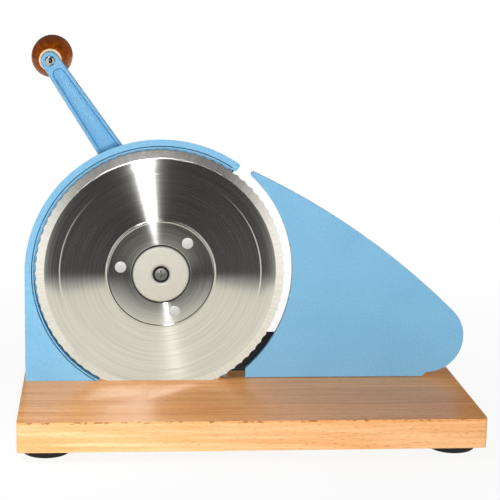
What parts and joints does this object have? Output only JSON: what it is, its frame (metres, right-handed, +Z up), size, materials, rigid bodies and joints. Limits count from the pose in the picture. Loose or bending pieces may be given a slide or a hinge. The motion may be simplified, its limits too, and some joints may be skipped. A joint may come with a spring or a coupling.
{
  "type": "hand crank bread slicer",
  "caption": "Hand cranked bread slicer: a geared round blade in a blue cast guard, a sliding stop plate and a wooden base on rubber feet.",
  "frame": {"origin": "on the table, under the middle of the board", "axes": "+X to the right as seen from the blade's side, +Y away from the viewer, +Z up"},
  "size_m": [0.3419, 0.2358, 0.2862],
  "materials": {
    "beech": "lacquered beech",
    "rubber": "moulded black rubber",
    "blue_paint": "light blue powder coat on cast aluminium",
    "blade_steel": "brushed stainless steel with a ground edge",
    "satin_aluminium": "satin",
    "chrome": "polished",
    "bright_steel": "zinc plated",
    "bronze": "sintered bronze",
    "gear_nylon": "moulded nylon",
    "handle_wood": "red-brown varnished wood",
    "ring_wood": "pale wood",
    "black_nylon": "moulded black nylon"
  },
  "bodies": {
    "base": {"base_board": "beech", "foot_front_left": "rubber", "foot_front_right": "rubber", "foot_rear_left": "rubber", "foot_rear_right": "rubber", "foot_screws": "bright_steel", "housing": "blue_paint", "housing_bolts": "bright_steel", "blade_axle": "bright_steel", "thrust_washer": "bronze", "axle_washer": "bright_steel", "axle_nut": "bright_steel", "hub_cap": "satin_aluminium", "cap_screw": "chrome", "crank_bush_front": "bronze", "crank_bush_rear": "bronze", "guide_block": "black_nylon", "guide_block_bolts": "bright_steel", "dial_retainer": "black_nylon", "retainer_screws": "bright_steel"},
    "blade_unit": {"blade": "blade_steel", "blade_rivets": "satin_aluminium", "blade_gear": "gear_nylon", "gear_bush": "bronze"},
    "crank": {"crank_gear": "gear_nylon", "crank_shaft": "bright_steel", "crank_arm": "blue_paint", "crank_washer": "bright_steel", "crank_nut": "bright_steel", "handle_spindle": "chrome", "handle_washer": "ring_wood", "handle_end_washer": "bright_steel", "handle_nut": "bright_steel"},
    "handle": {"handle": "handle_wood"},
    "plate": {"stop_plate": "blue_paint", "guide_rod_left": "bright_steel", "guide_rod_right": "bright_steel", "adjuster_sleeve": "bronze"},
    "dial": {"adjuster_spindle": "bright_steel", "thickness_dial": "black_nylon", "dial_nut": "bright_steel"}
  },
  "joints": [
    {"name": "crank_spin", "type": "hinge", "parent": "base", "child": "crank", "pos_m": [-0.08174, 0.03, 0.17132], "axis": [0, 1, 0], "continuous": true},
    {"name": "blade_spin", "type": "hinge", "parent": "base", "child": "blade_unit", "pos_m": [-0.064, 0, 0.114], "axis": [0, 1, 0], "continuous": true},
    {"name": "handle_spin", "type": "hinge", "parent": "crank", "child": "handle", "pos_m": [-0.14829, 0.0873, 0.26997], "axis": [0, 1, 0], "continuous": true},
    {"name": "plate_slide", "type": "slide", "parent": "base", "child": "plate", "axis": [0, 1, 0], "range_m": [-0.0047, 0.012]},
    {"name": "dial_turn", "type": "hinge", "parent": "base", "child": "dial", "pos_m": [0.076, 0.06, 0.05], "axis": [0, 1, 0], "range_deg": [-85, 216]}
  ],
  "couplings": [
    {"joint": "blade_spin", "follows": "crank_spin", "ratio": -0.48148},
    {"joint": "dial_turn", "follows": "plate_slide", "rad_per_m": 313.5}
  ]
}
